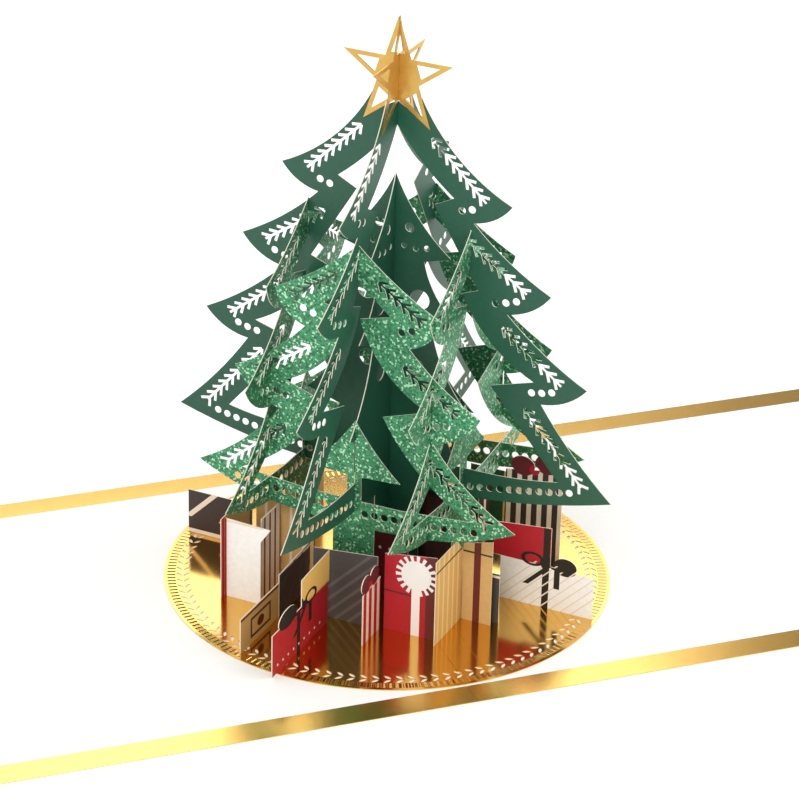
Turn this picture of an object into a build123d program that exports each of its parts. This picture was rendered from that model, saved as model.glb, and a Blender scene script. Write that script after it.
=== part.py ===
"""A pop-up card, open flat: a Christmas tree of slotted paper sheets on a gold disc, with gifts round it.

The card lies in XY with its front edge towards -Y. The origin is on the table under the middle of the
card. Two families of upright sheets cross at right angles, both turned 45 degrees to the card's fold:
a "v" sheet runs front-right, a "u" sheet runs back-right. Every outline is drawn flat, across and up.
"""

import os
from math import atan2, cos, degrees, pi, sin

from build123d import *

# Driving dimensions, mm
card_width = 508.0  # both panels, left to right
card_depth = 184.0
card_t = 0.6
fold_gap = 9.5  # second crease, this far to the right of the middle fold
crease_width = 0.5
crease_depth = 0.12

disc_radius = 80.8
disc_t = 0.35
leaf_ring_radius = 74.0
leaf_pairs = 112
leaf_length = 3.4
leaf_belly = 0.6
leaf_spread = 1.25  # half the distance between the two rows
leaf_lean = 38.0

sheet_t = 0.35
slot_clearance = 0.05  # each side of a sheet in its slot
foot_clearance = 0.1  # round each foot in its slit
foot_width = 5.0
dark_trunk = 12.0  # half widths
glitter_trunk = 8.0
front_offset = 28.7  # glitter sheets in front of the middle
back_offset = 33.5  # glitter sheets behind it

star_radius = 21.5
star_waist = 8.2
star_border = 1.55
star_centre_z = 193.3

sprig_stem = 0.9
sprig_leaf = 3.7
sprig_leaf_width = 1.1
sprig_pitch = 3.6
sprig_lean = 38.0
dot_diameter = 2.7

# Worked out from them
disc_top = card_t + disc_t
slot_width = sheet_t + 2 * slot_clearance
tree_top = star_centre_z + star_radius


def plane_of(family, offset):
    """The upright plane of a sheet, through its middle, with local X across it and local Y up."""
    along = Vector(1, -1, 0) if family == "v" else Vector(1, 1, 0)
    away = Vector(1, 1, 0) if family == "v" else Vector(1, -1, 0)
    return Plane(
        origin=away.normalized() * offset,
        x_dir=along.normalized(),
        z_dir=along.cross(Vector(0, 0, 1)).normalized(),
    )


def halves(curves, mode=Mode.ADD):
    """Fills an outline given by its right half, from the top of the axis to the foot of it.

    Each item is the next corner, or a pair: a point that an arc passes through, and the next corner.
    """
    with BuildLine() as outline:
        start = curves[0]
        for item in curves[1:]:
            if isinstance(item[0], tuple):
                ThreePointArc(start, item[0], item[1])
                start = item[1]
            else:
                Line(start, item)
                start = item
        mirror(about=Plane.YZ)
    make_face(outline.edges(), mode=mode)


def sprig(low, high):
    """Cuts a fir sprig on both sides of the axis: a stem, and leaves that sweep back from its tip."""
    stem = Vector(*high) - Vector(*low)
    angle = degrees(atan2(stem.Y, stem.X))
    for side in (1, -1):
        turn = angle if side == 1 else 180 - angle
        with Locations((side * (low[0] + high[0]) / 2, (low[1] + high[1]) / 2)):
            Rectangle(stem.length, sprig_stem, rotation=turn, mode=Mode.SUBTRACT)
        for i in range(int(stem.length / sprig_pitch) + 1):
            root = Vector(*high) - stem.normalized() * (i * sprig_pitch)
            with Locations((side * root.X, root.Y)):
                for lean in (sprig_lean, -sprig_lean):
                    Rectangle(
                        sprig_leaf,
                        sprig_leaf_width,
                        rotation=turn + lean,
                        align=(Align.MAX, Align.CENTER),
                        mode=Mode.SUBTRACT,
                    )


def dots(places, diameter=dot_diameter):
    """Cuts round holes on both sides of the axis."""
    for side in (1, -1):
        with Locations(*[(side * x, z) for x, z in places]):
            Circle(diameter / 2, mode=Mode.SUBTRACT)


# The two tall sheets: an outer band in four tiers round a smaller solid tree
with BuildSketch() as dark_outline:
    halves(
        [
            (0, 184.3),
            (11, 178),
            (9, 187),
            ((21, 169.8), (43.7, 153.7)),
            ((36.8, 147.4), (29.6, 145)),
            ((42.2, 134), (59.2, 123.6)),
            ((51.6, 116.6), (43.2, 113.7)),
            ((56.9, 102), (73.9, 91.5)),
            ((66, 85), (57.1, 82.5)),
            ((69.4, 66.2), (84.9, 50.2)),
            ((62, 44.3), (35.6, 40.2)),
            (dark_trunk, 38.5),
            (dark_trunk, card_t),
            (0, card_t),
        ]
    )
    halves(
        [
            (0, 175.9),
            ((10, 163.6), (22.1, 152.7)),
            (14.8, 149),
            (32.2, 120.4),
            (26, 118),
            ((37.5, 102), (54.2, 90.3)),
            (38, 85.5),
            (64.8, 53.9),
            ((50, 51.6), (35.2, 50.9)),
            (0, 50.4),
        ],
        mode=Mode.SUBTRACT,
    )
    halves(
        [
            (0, 158),
            ((9.4, 142), (21.5, 129.8)),
            (11.5, 126.8),
            ((17, 113.5), (27, 103.5)),
            (15.5, 99.5),
            ((22.5, 82), (33, 69)),
            (20, 65),
            (26, 50),
            (0, 50),
        ]
    )

with BuildSketch() as dark_sheet:
    add(dark_outline.sketch)
    sprig((34, 153.2), (13.4, 173))
    sprig((50.2, 122.8), (27.2, 138.4))
    sprig((64.4, 91), (41.8, 108.4))
    sprig((73.6, 54), (51.4, 79.4))
    dots([(28.9, 149.9), (25.2, 148.9)])
    dots([(46.5, 119.3), (42.6, 118), (38.8, 117)])
    dots([(61, 87.9), (57.3, 86.9), (53.5, 86.2)])
    dots([(69.3 - 3.75 * i, 50.8 - 0.78 * i + 0.012 * i * i) for i in range(13)])
    dots([(5.8, 138.7)], 3.6)
    dots([(10.2, 112.2)], 7.4)
    dots([(9.5, 86)], 6.4)
    dots([(3.8, 131.6), (8.2, 131.2), (12.4, 132)], 2.2)

# The four glitter sheets: an outer band in three tiers round a little solid tree
with BuildSketch() as glitter_outline:
    halves(
        [
            (0, 142),
            ((11.6, 132.2), (31.5, 120)),
            ((27.6, 112.2), (19.8, 107.5)),
            ((30.9, 96.9), (47, 86.7)),
            ((39.6, 78), (29.6, 73.6)),
            ((42, 59.6), (61.4, 46.2)),
            ((40, 38), (16, 34.8)),
            (glitter_trunk, 34.4),
            (glitter_trunk, card_t),
            (0, card_t),
        ]
    )
    halves(
        [
            (0, 128.4),
            (12.7, 117.8),
            (1.2, 114.8),
            ((12.4, 95.6), (27.3, 85.1)),
            (10.5, 79.5),
            ((24.5, 61), (44.5, 46.8)),
            (18, 44.6),
            (0, 44.4),
        ],
        mode=Mode.SUBTRACT,
    )
    halves(
        [
            (0, 75.6),
            ((7.2, 65.6), (17.6, 54.8)),
            (2.7, 54),
            (2.7, 44),
            (0, 44),
        ]
    )

with BuildSketch() as glitter_sheet:
    add(glitter_outline.sketch)
    sprig((24.2, 118.4), (7.8, 129.8))
    sprig((38.4, 86.2), (17.8, 100.2))
    sprig((50, 48), (27.2, 66.8))
    dots([(20.6, 114.2), (16.8, 113)])
    dots([(34.6, 81.4), (30.8, 80.3), (27, 79.2)])
    dots([(46 - 3.8 * i, 43 - 0.45 * i + 0.015 * i * i) for i in range(12)])

# The two stars
star_corners = [
    (
        (star_radius if i % 2 == 0 else star_waist) * sin(i * pi / 5),
        star_centre_z + (star_radius if i % 2 == 0 else star_waist) * cos(i * pi / 5),
    )
    for i in range(10)
]
with BuildSketch() as star_outline:
    with BuildLine():
        Polyline(*star_corners, close=True)
    make_face()
    for i in range(0, 10, 2):
        arm = Polygon(
            star_corners[i],
            star_corners[i - 1],
            star_corners[(i + 1) % 10],
            align=None,
            mode=Mode.PRIVATE,
        )
        offset(arm, amount=-star_border, kind=Kind.INTERSECTION, mode=Mode.SUBTRACT)

# Gift walls: family, offset, outline corners (across, up), and bow loops (across, up, half sizes)
gift_walls = {
    "brown_gift_front": ("v", -6.2, [(-78.4, 0), (-78.4, 18.5), (-52, 18.5), (-52, 0)], []),
    "cream_gift_front": (
        "v",
        -41.6,
        [(-44.2, 0), (-44.2, 32.4), (-26.1, 31.8), (-30, 26), (-30, 0)],
        [],
    ),
    "cream_gift_side": ("u", -44.7, [(-44, 0), (-44, 32.6), (-22.5, 34), (-22.5, 0)], []),
    "kraft_gift_back": (
        "v",
        -22,
        [(-42, 0), (-42, 33), (-26, 33), (-19, 28), (-19, 0)],
        [],
    ),
    "pale_gift_side": ("u", -31.5, [(-38.5, 0), (-38.5, 33.4), (-24, 33.4), (-24, 0)], []),
    "tag_gift_side": ("u", -20.5, [(-75, 0), (-75, 14.5), (-46.4, 14.5), (-46.4, 0)], []),
    "grey_gift_side": ("u", -20.5, [(-46, 0), (-46, 17.6), (-19.8, 19.4), (-19.8, 0)], []),
    "red_gift_side": (
        "u",
        -3.5,
        [
            (-84, 0),
            (-84, 17.2),
            (-62, 17.6),
            (-62, 28),
            (-40.8, 29.4),
            (-40.8, 17.2),
            (-41.8, 17),
            (-41.8, 0),
        ],
        [(-72.4, 18.8, 6.8, 3.6)],
    ),
    "grey_gift_front": ("v", -38, [(-10.9, 0), (-10.9, 27.4), (14.1, 30), (14.1, 0)], []),
    "brown_gift_middle": (
        "v",
        -15,
        [(-13.7, 0), (-13.7, 19.2), (-7.1, 27.6), (15, 32), (15, 0)],
        [],
    ),
    "brown_gift_inner": ("v", 8, [(5, 0), (5, 38), (24, 38), (24, 0)], []),
    "striped_gift_side": (
        "u",
        14.5,
        [(-50.7, 0), (-50.7, 20.6), (-36.8, 21.8), (-36.8, 0)],
        [(-48, 24, 3.8, 3.4), (-41.6, 24.6, 3.6, 3.4)],
    ),
    "starburst_gift_front": (
        "v",
        -36,
        [(15.9, 0), (15.9, 31), (35.8, 34), (35.8, 0)],
        [],
    ),
    "gold_gift_side": (
        "u",
        37,
        [(-39.5, 0), (-39.5, 34.2), (-22, 34.2), (-16.5, 27.8), (-16.5, 0)],
        [],
    ),
    "gold_gift_front": ("v", -17.4, [(37.5, 0), (37.5, 31.4), (48.7, 34.4), (48.7, 0)], []),
    "small_grey_gift_front": ("v", -14.6, [(38, 0), (38, 20), (50.5, 20.6), (50.5, 0)], []),
    "white_gift_front": (
        "v",
        3,
        [
            (43.2, 0),
            (43.2, 17.8),
            (40, 18),
            (40, 31),
            (62.3, 33.4),
            (62.3, 18),
            (79, 17.2),
            (79, 0),
        ],
        [(68, 19.2, 4.4, 3.3)],
    ),
    "tall_striped_gift_front": (
        "v",
        22,
        [(36, 0), (36, 42), (58, 46), (58, 0)],
        [(42.5, 45, 4.6, 3.6), (51.8, 47.4, 4.6, 3.6)],
    ),
    "red_gift_back": ("v", 46, [(-30, 0), (-30, 26), (-6, 26), (-6, 0)], []),
    "kraft_gift_left": ("u", -46, [(8, 0), (8, 27), (40, 27), (40, 0)], []),
    "green_gift_back": ("v", 55, [(8, 0), (8, 22), (38, 22), (38, 0)], []),
    "brown_gift_right": ("u", 18, [(40, 0), (40, 30), (51, 30), (51, 0)], []),
}


def wall_outline(corners, loops):
    """The flat outline of a gift wall, standing on the disc, with its bow loops."""
    with BuildSketch() as outline:
        with BuildLine():
            Polyline(*[(x, max(z, disc_top)) for x, z in corners], close=True)
        make_face()
        for x, z, half_wide, half_high in loops:
            with Locations((x, z)):
                Ellipse(half_wide, half_high)
    return outline.sketch


def wall_feet(corners):
    """Middles of the two feet that go through the disc, a quarter in from each end."""
    left = max(corners[0][0], corners[1][0])
    right = corners[-1][0]
    return [left + (right - left) / 4, right - (right - left) / 4]


# Every upright sheet: family, offset, outline, finished sketch, feet as (middle, width)
tall = [(0, 2 * dark_trunk)]
short = [(0, 2 * glitter_trunk)]
sheets = {
    "dark_sheet_v": ("v", 0, dark_outline.sketch, dark_sheet.sketch, tall),
    "dark_sheet_u": ("u", 0, dark_outline.sketch, dark_sheet.sketch, tall),
    "glitter_sheet_front_left": ("v", -front_offset, glitter_outline.sketch, glitter_sheet.sketch, short),
    "glitter_sheet_back_right": ("v", back_offset, glitter_outline.sketch, glitter_sheet.sketch, short),
    "glitter_sheet_front_right": ("u", front_offset, glitter_outline.sketch, glitter_sheet.sketch, short),
    "glitter_sheet_back_left": ("u", -back_offset, glitter_outline.sketch, glitter_sheet.sketch, short),
    "star_v": ("v", -sheet_t, star_outline.sketch, star_outline.sketch, []),
    "star_u": ("u", sheet_t, star_outline.sketch, star_outline.sketch, []),
}
for name, (family, away, corners, loops) in gift_walls.items():
    flat = wall_outline(corners, loops)
    sheets[name] = (family, away, flat, flat, [(x, foot_width) for x in wall_feet(corners)])


def heights_at(flat, across):
    """The spans of height, lowest first, in which a flat outline has paper at this place across."""
    column = Pos(across, tree_top / 2) * Rectangle(slot_width, 2 * tree_top)
    found = flat & column
    boxes = [face.bounding_box() for face in found.faces()] if found else []
    return sorted((box.min.Y, box.max.Y) for box in boxes)


def shared_slots(v_flat, u_flat, v_place, u_place):
    """Half-lap slots where a v sheet and a u sheet cross, as (bottom, top) lists for each of them.

    In each span of the v sheet the joint is half-way up the lowest height that both have. The v
    sheet is slit above it and the u sheet below it, as far as the other sheet reaches.
    """
    v_slots = []
    u_slots = []
    u_spans = heights_at(u_flat, v_place)
    for v_low, v_high in heights_at(v_flat, u_place):
        both = [(low, high) for low, high in u_spans if low < v_high and high > v_low]
        if both:
            low, high = both[0]
            joint = (max(low, v_low) + min(high, v_high)) / 2
            v_slots.append((joint, min(both[-1][1], v_high) + slot_width))
            u_slots.append((max(low, v_low) - slot_width, joint))
    return v_slots, u_slots


slots = {name: [] for name in sheets}
for v_name, (v_family, v_place, v_flat, _, _) in sheets.items():
    for u_name, (u_family, u_place, u_flat, _, _) in sheets.items():
        if (v_family, u_family) == ("v", "u"):
            v_slots, u_slots = shared_slots(v_flat, u_flat, v_place, u_place)
            slots[v_name] += [(u_place, low, high) for low, high in v_slots]
            slots[u_name] += [(v_place, low, high) for low, high in u_slots]

os.makedirs("parts", exist_ok=True)

for name, (family, away, _, flat, feet) in sheets.items():
    with BuildPart() as sheet:
        with BuildSketch(plane_of(family, away)) as face:
            add(flat)
            for middle, width in feet:
                with Locations((middle, card_t)):
                    Rectangle(width, disc_t, align=(Align.CENTER, Align.MIN))
            for across, low, high in slots[name]:
                with Locations((across, (low + high) / 2)):
                    Rectangle(slot_width, high - low, mode=Mode.SUBTRACT)
        # A scrap of paper that a slot frees beside a cut-out falls away
        whole = face.sketch.faces().sort_by(SortBy.AREA)[-1]
        extrude(whole, amount=sheet_t / 2, both=True)
    sheet.part.label = name
    export_step(sheet.part, f"parts/{name}.step")

# One leaf of the ring, between two arcs
with BuildSketch() as leaf:
    with BuildLine():
        ThreePointArc((-leaf_length / 2, 0), (0, leaf_belly), (leaf_length / 2, 0))
        ThreePointArc((-leaf_length / 2, 0), (0, -leaf_belly), (leaf_length / 2, 0))
    make_face()

# The gold disc, with a slit for every foot, a ring of leaf pairs and the two creases
with BuildPart() as gold_disc:
    with BuildSketch(Plane.XY.offset(card_t)):
        Circle(disc_radius)
        for side in (1, -1):
            with PolarLocations(leaf_ring_radius + side * leaf_spread, leaf_pairs):
                add(leaf.sketch, rotation=90 + side * leaf_lean, mode=Mode.SUBTRACT)
    extrude(amount=disc_t)
    for family, away, _, _, feet in sheets.values():
        for middle, width in feet:
            with BuildSketch(Plane.XY.offset(card_t)):
                place = plane_of(family, away)
                centre = place.origin + place.x_dir * middle
                with Locations((centre.X, centre.Y)):
                    Rectangle(
                        width + 2 * foot_clearance,
                        sheet_t + 2 * foot_clearance,
                        rotation=-45 if family == "v" else 45,
                    )
            extrude(amount=disc_t, mode=Mode.SUBTRACT)
    with BuildSketch(Plane.XY.offset(disc_top)):
        with Locations((0, 0), (fold_gap, 0)):
            Rectangle(crease_width, 2 * disc_radius)
    extrude(amount=-crease_depth, mode=Mode.SUBTRACT)
gold_disc.part.label = "gold_disc"
export_step(gold_disc.part, "parts/gold_disc.step")

# The card: one folded sheet, open flat
with BuildPart() as card:
    with BuildSketch():
        Rectangle(card_width, card_depth)
    extrude(amount=card_t)
    with BuildSketch(Plane.XY.offset(card_t)):
        with Locations((0, 0), (fold_gap, 0)):
            Rectangle(crease_width, card_depth)
    extrude(amount=-crease_depth, mode=Mode.SUBTRACT)
card.part.label = "card"
export_step(card.part, "parts/card.step")
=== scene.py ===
# %% [markdown]
# # A pop-up Christmas card, open flat
# A pop-up card is one folded sheet with paper shapes glued across the fold. This one is a *sliceform*:
# upright sheets in two families cross at right angles, each slotted half-way into the other, so that
# the whole tree folds flat with the card. The sheets are cut card; the looks are added here.

from math import cos, radians, sin, sqrt

import bpy
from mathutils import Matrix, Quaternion, Vector

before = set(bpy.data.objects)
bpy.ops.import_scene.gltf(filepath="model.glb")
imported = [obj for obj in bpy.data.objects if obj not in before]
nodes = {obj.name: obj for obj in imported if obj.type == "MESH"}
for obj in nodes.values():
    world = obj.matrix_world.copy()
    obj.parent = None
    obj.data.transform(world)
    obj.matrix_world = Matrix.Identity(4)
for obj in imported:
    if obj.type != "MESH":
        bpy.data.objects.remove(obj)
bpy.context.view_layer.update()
print("nodes", len(nodes))

MM = 0.001
CARD_HALF_DEPTH = 92 * MM
BORDER = 10.4 * MM
RIM_TICKS = 224  # fine ticks pressed round the disc
RIM_INNER = 76.6 * MM
RIM_OUTER = 79.6 * MM
FLAKES = 1500  # glitter flakes to a metre

# %% [markdown]
# ## Small helpers for shader nodes
# Every pattern is worked out from the place on the object, so that it moves with the card.


# %% Helpers
class Paint:
    """A material with short ways to add nodes to it."""

    def __init__(self, name, roughness=0.6, metallic=0.0):
        self.mat = bpy.data.materials.new(name)
        self.mat.use_nodes = True
        self.tree = self.mat.node_tree
        self.shader = self.tree.nodes["Principled BSDF"]
        self.shader.inputs["Roughness"].default_value = roughness
        self.shader.inputs["Metallic"].default_value = metallic
        self.place = self.tree.nodes.new("ShaderNodeNewGeometry").outputs["Position"]

    def node(self, kind, **settings):
        made = self.tree.nodes.new(kind)
        for key, value in settings.items():
            setattr(made, key, value)
        return made

    def put(self, value, socket):
        if isinstance(value, bpy.types.NodeSocket):
            self.tree.links.new(value, socket)
        else:
            socket.default_value = value

    def math(self, operation, a, b=0.0):
        made = self.node("ShaderNodeMath", operation=operation)
        self.put(a, made.inputs[0])
        self.put(b, made.inputs[1])
        return made.outputs[0]

    def dot(self, vector, direction):
        made = self.node("ShaderNodeVectorMath", operation="DOT_PRODUCT")
        self.put(vector, made.inputs[0])
        made.inputs[1].default_value = direction
        return made.outputs["Value"]

    def mix(self, factor, a, b):
        made = self.node("ShaderNodeMix", data_type="RGBA")
        self.put(factor, made.inputs[0])
        for value, socket in ((a, made.inputs[6]), (b, made.inputs[7])):
            self.put(value if isinstance(value, bpy.types.NodeSocket) else (*value, 1), socket)
        return made.outputs[2]

    def noise(self, scale, detail=4):
        made = self.node("ShaderNodeTexNoise")
        made.inputs["Scale"].default_value = scale
        made.inputs["Detail"].default_value = detail
        self.put(self.place, made.inputs["Vector"])
        return made.outputs["Fac"]

    def between(self, value, low, high):
        above = self.math("GREATER_THAN", value, low)
        return self.math("MULTIPLY", above, self.math("LESS_THAN", value, high))

    def bump(self, height, distance, strength=0.5):
        made = self.node("ShaderNodeBump")
        made.inputs["Distance"].default_value = distance
        made.inputs["Strength"].default_value = strength
        self.put(height, made.inputs["Height"])
        self.put(made.outputs["Normal"], self.shader.inputs["Normal"])

    def mottled(self, colour, scale=900, amount=0.12):
        dark = tuple(c * (1 - amount) for c in colour)
        light = tuple(min(1, c * (1 + amount)) for c in colour)
        return self.mix(self.noise(scale), dark, light)

    def facing(self, family, side=0):
        """1 on the broad faces of a sheet: on both with side 0, or on the one that side names."""
        normal = self.node("ShaderNodeNewGeometry").outputs["True Normal"]
        direction = (1, 1, 0) if family == "v" else (1, -1, 0)
        turned = self.dot(normal, tuple(c / sqrt(2) for c in direction))
        if side:
            return self.math("GREATER_THAN", self.math("MULTIPLY", turned, side), 0.5)
        return self.math("GREATER_THAN", self.math("ABSOLUTE", turned), 0.5)

    def across(self, family):
        direction = (1, -1, 0) if family == "v" else (1, 1, 0)
        return self.dot(self.place, tuple(c / sqrt(2) for c in direction))

    def up(self):
        return self.dot(self.place, (0, 0, 1))


def dress(name, paint):
    """Gives a CAD node its material."""
    nodes[name].data.materials.clear()
    nodes[name].data.materials.append(paint.mat)


# Colours, linear
WHITE = (0.86, 0.84, 0.81)
CREAM = (0.78, 0.66, 0.52)
GOLD = (0.86, 0.53, 0.14)
STAR_GOLD = (0.62, 0.38, 0.1)
DARK_GREEN = (0.011, 0.085, 0.045)
GLITTER_GREEN = (0.05, 0.24, 0.11)
EDGE = (0.62, 0.6, 0.48)
RED = (0.42, 0.006, 0.018)
BROWN = (0.04, 0.022, 0.02)
GREY = (0.055, 0.05, 0.05)
KRAFT = (0.6, 0.38, 0.15)
BLACK = (0.01, 0.009, 0.009)
MAROON = (0.12, 0.01, 0.015)

# %% [markdown]
# ## The card and its disc
# The card is plain white with a strip of gold foil along each long edge. The disc is mirror foil.


# %% Card and disc
def card_paint():
    paint = Paint("white card", 0.55)
    depth = paint.math("ABSOLUTE", paint.dot(paint.place, (0, 1, 0)))
    strip = paint.math("GREATER_THAN", depth, CARD_HALF_DEPTH - BORDER)
    top = paint.math("GREATER_THAN", paint.up(), 0.3 * MM)
    foil = paint.math("MULTIPLY", strip, top)
    colour = paint.mix(foil, paint.mottled(WHITE, 700, 0.02), paint.mottled(GOLD, 60, 0.06))
    paint.put(colour, paint.shader.inputs["Base Color"])
    paint.put(foil, paint.shader.inputs["Metallic"])
    shine = paint.math("SUBTRACT", 0.55, paint.math("MULTIPLY", foil, 0.33))
    paint.put(shine, paint.shader.inputs["Roughness"])
    paint.bump(paint.noise(1500), 0.03 * MM, 0.25)
    return paint


def disc_paint():
    paint = Paint("gold foil", 0.13, 1.0)
    paint.put(paint.mottled(GOLD, 40, 0.07), paint.shader.inputs["Base Color"])
    x = paint.dot(paint.place, (1, 0, 0))
    y = paint.dot(paint.place, (0, 1, 0))
    square = paint.math("ADD", paint.math("MULTIPLY", x, x), paint.math("MULTIPLY", y, y))
    turn = paint.math("ARCTAN2", y, x)
    ticks = paint.math("SINE", paint.math("MULTIPLY", turn, RIM_TICKS))
    rim = paint.between(paint.math("SQRT", square), RIM_INNER, RIM_OUTER)
    wave = paint.math("MULTIPLY", paint.noise(55, 2), 0.35)
    paint.bump(paint.math("ADD", paint.math("MULTIPLY", ticks, rim), wave), 0.12 * MM, 0.6)
    return paint


dress("card", card_paint())
dress("gold_disc", disc_paint())
print("card and disc painted")

# %% [markdown]
# ## The tree and the star
# The tall sheets are smooth card with pale cut edges. The others carry glitter: flakes of random tone,
# each bumped to its own height, with a few painted pale green as painted glints for flakes that catch
# the light.


# %% Tree sheets and stars
def smooth_green(family):
    paint = Paint("dark green card " + family, 0.42)
    colour = paint.mix(paint.facing(family), EDGE, paint.mottled(DARK_GREEN, 500, 0.16))
    paint.put(colour, paint.shader.inputs["Base Color"])
    paint.bump(paint.noise(2500), 0.03 * MM, 0.3)
    return paint


def glitter_green(family):
    paint = Paint("green glitter card " + family, 0.32)
    flakes = paint.node("ShaderNodeTexVoronoi")
    flakes.inputs["Scale"].default_value = FLAKES
    paint.put(paint.place, flakes.inputs["Vector"])
    shade = paint.node("ShaderNodeSeparateColor")
    paint.put(flakes.outputs["Color"], shade.inputs[0])
    dull = tuple(0.55 * c for c in GLITTER_GREEN)
    vivid = tuple(1.5 * c for c in GLITTER_GREEN)
    body = paint.mix(shade.outputs[0], dull, vivid)
    # Painted glints: a few flakes are painted pale green in place of flakes that catch the light.
    painted_glint_mask = paint.math("GREATER_THAN", shade.outputs[1], 0.86)
    flakes_with_painted_glints = paint.mix(painted_glint_mask, body, (0.42, 0.72, 0.46))
    face = paint.facing(family)
    paint.put(paint.mix(face, EDGE, flakes_with_painted_glints), paint.shader.inputs["Base Color"])
    paint.put(paint.math("MULTIPLY", face, 0.45), paint.shader.inputs["Metallic"])
    paint.bump(shade.outputs[2], 0.12 * MM, 0.55)
    return paint


def star_paint():
    paint = Paint("star foil", 0.3, 0.85)
    paint.put(paint.mottled(STAR_GOLD, 300, 0.18), paint.shader.inputs["Base Color"])
    paint.bump(paint.noise(1200), 0.05 * MM, 0.4)
    return paint


green = {family: smooth_green(family) for family in "uv"}
glitter = {family: glitter_green(family) for family in "uv"}
dress("dark_sheet_v", green["v"])
dress("dark_sheet_u", green["u"])
dress("glitter_sheet_front_left", glitter["v"])
dress("glitter_sheet_back_right", glitter["v"])
dress("glitter_sheet_front_right", glitter["u"])
dress("glitter_sheet_back_left", glitter["u"])
stars = star_paint()
dress("star_v", stars)
dress("star_u", stars)
print("tree painted")

# %% [markdown]
# ## The gifts
# Each gift wall is printed on its front with plain fields, ribbons and dots, and is kraft behind; one
# dark strip is painted shade.
# A mark is (kind, across, up, width, height, colour), in millimetres along the wall.


# %% Gift walls
def mark_mask(paint, kind, along, up, x, z, width, height):
    """1 inside a mark, printed or painted shade: a bar, a slanted stripe, an oval, a ring or a burst
    of rays.
    """
    dx = paint.math("SUBTRACT", along, x * MM)
    dz = paint.math("SUBTRACT", up, z * MM)
    if kind == "slant":
        dx = paint.math("SUBTRACT", dx, dz)
    if kind in ("bar", "slant"):
        return paint.math(
            "MULTIPLY",
            paint.between(dx, -width / 2 * MM, width / 2 * MM),
            paint.between(dz, -height / 2 * MM, height / 2 * MM),
        )
    across = paint.math("DIVIDE", dx, width / 2 * MM)
    rise = paint.math("DIVIDE", dz, height / 2 * MM)
    wide = paint.math("MULTIPLY", across, across)
    reach = paint.math("ADD", wide, paint.math("MULTIPLY", rise, rise))
    oval = paint.math("LESS_THAN", reach, 1)
    if kind == "oval":
        return oval
    if kind == "ring":
        return paint.math("MULTIPLY", oval, paint.math("GREATER_THAN", reach, 0.45))
    rays = paint.math("SINE", paint.math("MULTIPLY", paint.math("ARCTAN2", dz, dx), 18))
    return paint.math("MULTIPLY", oval, paint.math("GREATER_THAN", rays, 0))


def gift_paint(name, family, face, marks=(), back=KRAFT):
    paint = Paint(name, 0.5)
    along = paint.across(family)
    up = paint.up()
    colour = paint.mottled(face, 600, 0.1)
    for kind, x, z, width, height, ink in marks:
        colour = paint.mix(mark_mask(paint, kind, along, up, x, z, width, height), colour, ink)
    front_side = -1 if family == "v" else 1
    sheet = paint.mix(paint.facing(family, front_side), paint.mottled(back, 600, 0.08), colour)
    paint.put(paint.mix(paint.facing(family), CREAM, sheet), paint.shader.inputs["Base Color"])
    paint.bump(paint.noise(2000), 0.03 * MM, 0.3)
    return paint


def bow(x, z, ink):
    """A printed bow: two loops, a knot and two tails."""
    return [
        ("ring", x - 5, z + 2, 9, 5.5, ink),
        ("ring", x + 5, z + 2, 9, 5.5, ink),
        ("slant", x - 3.5, z - 4.5, 2.2, 8, ink),
        ("bar", x + 4.5, z - 4, 2.2, 8, ink),
        ("oval", x, z + 0.6, 3.6, 3.6, ink),
    ]


def repeat(kind, x, z, width, height, ink, step, count):
    """The same mark again and again along the wall."""
    return [(kind, x + i * step, z, width, height, ink) for i in range(count)]


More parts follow.
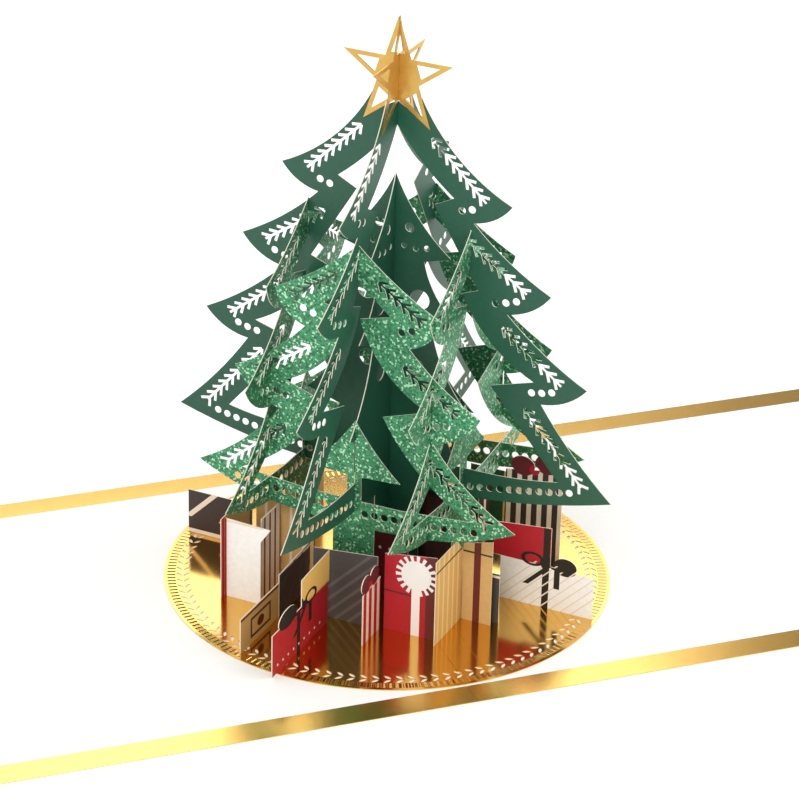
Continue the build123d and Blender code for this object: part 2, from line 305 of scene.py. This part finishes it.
gifts = {
    "brown_gift_front": (
        "v",
        BROWN,
        [
            ("slant", -73, 13, 2.6, 11, CREAM),
            ("bar", -65, 1.8, 27, 1.6, CREAM),
            ("slant", -60, 13, 1, 11, GOLD),
        ],
    ),
    "cream_gift_front": (
        "v",
        WHITE,
        [
            ("bar", -37, 31.6, 16, 1, CREAM),
            ("bar", -43.9, 16, 0.7, 33, RED),
        ],
    ),
    "cream_gift_side": ("u", KRAFT, [("bar", -43, 16, 2.4, 34, RED)]),
    "kraft_gift_back": ("v", KRAFT, repeat("bar", -38, 16, 1.1, 34, CREAM, 5, 4)),
    "pale_gift_side": ("u", CREAM, repeat("bar", -36, 16, 1.2, 34, MAROON, 4, 4)),
    "tag_gift_side": (
        "u",
        KRAFT,
        [
            ("bar", -60, 7, 15, 8, BROWN),
            ("bar", -60, 7, 13, 6, KRAFT),
            ("oval", -60, 7, 5, 4, MAROON),
            ("bar", -60, 13.6, 30, 0.8, MAROON),
        ],
    ),
    "grey_gift_side": (
        "u",
        GREY,
        [
            ("bar", -33, 18, 28, 1.2, CREAM),
        ]
        + repeat("slant", -44, 8, 1.2, 20, MAROON, 6, 5),
    ),
    "red_gift_side": (
        "u",
        RED,
        [
            ("bar", -51, 23.5, 22, 12.5, GOLD),
            ("bar", -64.3, 8, 2.4, 18, BLACK),
            ("bar", -51, 17.6, 22, 0.7, STAR_GOLD),
            ("oval", -72.4, 18.8, 14, 7.6, BLACK),
        ]
        + repeat("oval", -80, 4, 1, 1, CREAM, 4, 9)
        + bow(-60, 16.8, BLACK),
    ),
    "grey_gift_front": ("v", GREY, repeat("slant", -6, 12, 1.6, 40, (0.1, 0.09, 0.09), 5, 5)),
    "brown_gift_middle": ("v", MAROON, repeat("oval", -8, 20, 1.3, 1.3, CREAM, 4, 6)),
    "brown_gift_inner": ("v", BROWN, repeat("bar", 8, 19, 0.8, 40, MAROON, 4, 4)),
    "striped_gift_side": (
        "u",
        CREAM,
        repeat("bar", -49, 10, 2.2, 22, RED, 4.2, 4)
        + [
            ("oval", -48, 24, 8, 7, MAROON),
            ("oval", -41.6, 24.6, 8, 7, MAROON),
            ("oval", -44.8, 22.5, 3, 3, RED),
        ],
    ),
    "starburst_gift_front": (
        "v",
        RED,
        [
            ("bar", 21.4, 16.6, 11, 0.7, MAROON),
            # Painted shade: the dark red strip at the right end of this wall stands for shade there,
            # not print.
            ("bar", 33.8, 16, 4, 40, MAROON),
            ("bar", 28, 12, 3.2, 28, WHITE),
            ("burst", 28.1, 25, 15.8, 15.8, WHITE),
            ("oval", 28.1, 25, 11.5, 11.5, WHITE),
        ],
    ),
    "gold_gift_side": (
        "u",
        KRAFT,
        repeat("bar", -37, 16, 1.2, 40, GOLD, 4, 6)
        + [
            ("bar", -28, 29.6, 24, 0.7, BROWN),
        ],
    ),
    "gold_gift_front": (
        "v",
        KRAFT,
        [
            ("bar", 43, 16, 2.6, 40, MAROON),
            ("bar", 43, 28.6, 12, 0.7, BROWN),
        ],
    ),
    "small_grey_gift_front": (
        "v",
        GREY,
        [
            ("bar", 44, 19.4, 13, 1, CREAM),
            ("bar", 44, 10, 1.8, 22, RED),
        ],
    ),
    "white_gift_front": (
        "v",
        WHITE,
        [
            ("bar", 51, 25.8, 24, 15.6, RED),
            ("bar", 60.7, 8, 2.6, 20, BLACK),
            ("bar", 60.7, 25, 2.6, 16, BLACK),
            ("oval", 68, 19.2, 9.4, 7.4, BLACK),
        ]
        + repeat("slant", 46, 8, 0.7, 22, CREAM, 4, 9)
        + bow(60.5, 17.6, BLACK),
    ),
    "tall_striped_gift_front": (
        "v",
        BROWN,
        repeat("bar", 37.4, 22, 1.8, 44, CREAM, 4, 6)
        + [
            ("oval", 42.5, 45, 10, 8, MAROON),
            ("oval", 51.8, 47.4, 10, 8, MAROON),
            ("oval", 47, 44, 4, 4, RED),
        ],
    ),
    "red_gift_back": ("v", RED, [("bar", -18, 13, 3, 28, CREAM)]),
    "kraft_gift_left": ("u", KRAFT, [("bar", 24, 13, 3, 28, RED)]),
    "green_gift_back": ("v", DARK_GREEN, [("bar", 23, 11, 3, 24, GOLD)]),
    "brown_gift_right": ("u", BROWN, [("bar", 45.5, 15, 2, 32, CREAM)]),
}
for name, (family, face, marks) in gifts.items():
    dress(name, gift_paint(name.replace("_", " "), family, face, marks))
print("gifts painted", len(gifts))

# %% [markdown]
# ## Where it stands
# A white floor under plain studio lamps, and the camera a little left of the front, looking down.
# What the foil mirrors is a sky with soft dark bands; everything else is lit by plain white.

# %% Floor, lamps and camera
bpy.ops.object.select_all(action="DESELECT")
bpy.ops.mesh.primitive_plane_add(size=6, location=(0, 0, 0))
floor = bpy.context.object
floor.name = "floor"
floor_paint = Paint("white floor", 0.9)
floor_paint.shader.inputs["Base Color"].default_value = (0.93, 0.93, 0.93, 1)
floor_paint.shader.inputs["Specular IOR Level"].default_value = 0.0
floor.data.materials.append(floor_paint.mat)

world = bpy.data.worlds.new("studio")
bpy.context.scene.world = world
world.use_nodes = True
world.node_tree.nodes["Background"].inputs["Color"].default_value = (1, 1, 1, 1)
sky = world.node_tree
mirrored = sky.nodes.new("ShaderNodeLightPath").outputs["Is Glossy Ray"]
direction = sky.nodes.new("ShaderNodeNewGeometry").outputs["Incoming"]
bands = sky.nodes.new("ShaderNodeTexNoise")
bands.inputs["Scale"].default_value = 2.2
sky.links.new(direction, bands.inputs["Vector"])
ramp = sky.nodes.new("ShaderNodeValToRGB")
ramp.color_ramp.elements[0].position = 0.42
ramp.color_ramp.elements[0].color = (0.16, 0.15, 0.14, 1)
ramp.color_ramp.elements[1].position = 0.6
ramp.color_ramp.elements[1].color = (1, 1, 1, 1)
sky.links.new(bands.outputs["Fac"], ramp.inputs["Fac"])
choice = sky.nodes.new("ShaderNodeMix")
choice.data_type = "RGBA"
sky.links.new(mirrored, choice.inputs[0])
choice.inputs[6].default_value = (1, 1, 1, 1)
sky.links.new(ramp.outputs["Color"], choice.inputs[7])
sky.links.new(choice.outputs[2], sky.nodes["Background"].inputs["Color"])
sky.nodes["Background"].inputs["Strength"].default_value = 1.0


def lamp(name, place, size, power):
    """An area lamp that looks at the tree."""
    data = bpy.data.lights.new(name, "AREA")
    data.size = size
    data.energy = power
    made = bpy.data.objects.new(name, data)
    bpy.context.collection.objects.link(made)
    made.location = place
    made.rotation_euler = (Vector((0, 0, 0.08)) - Vector(place)).to_track_quat("-Z", "Y").to_euler()


lamp("key", (-0.7, -0.9, 1.2), 0.5, 9)
lamp("fill", (1.0, -0.5, 0.9), 0.8, 4)
lamp("back", (0.3, 1.0, 0.9), 0.6, 3)

AZIMUTH, ELEVATION, ROLL = radians(-20.03), radians(25.78), radians(1.29)
DISTANCE = 1.139
back = Vector((sin(AZIMUTH) * cos(ELEVATION), -cos(AZIMUTH) * cos(ELEVATION), sin(ELEVATION)))
camera_data = bpy.data.cameras.new("camera")
camera = bpy.data.objects.new("camera", camera_data)
bpy.context.collection.objects.link(camera)
camera_data.lens = 146.2
camera_data.sensor_width = 36
camera_data.shift_x = 0.0093
camera_data.shift_y = -0.0605
camera.location = Vector((0, 0, 0.09)) + back * DISTANCE
camera.rotation_mode = "QUATERNION"
camera.rotation_quaternion = (-back).to_track_quat("-Z", "Y") @ Quaternion((0, 0, 1), ROLL)
camera_data.clip_end = 20
bpy.context.scene.camera = camera
bpy.context.scene.view_settings.view_transform = "Standard"
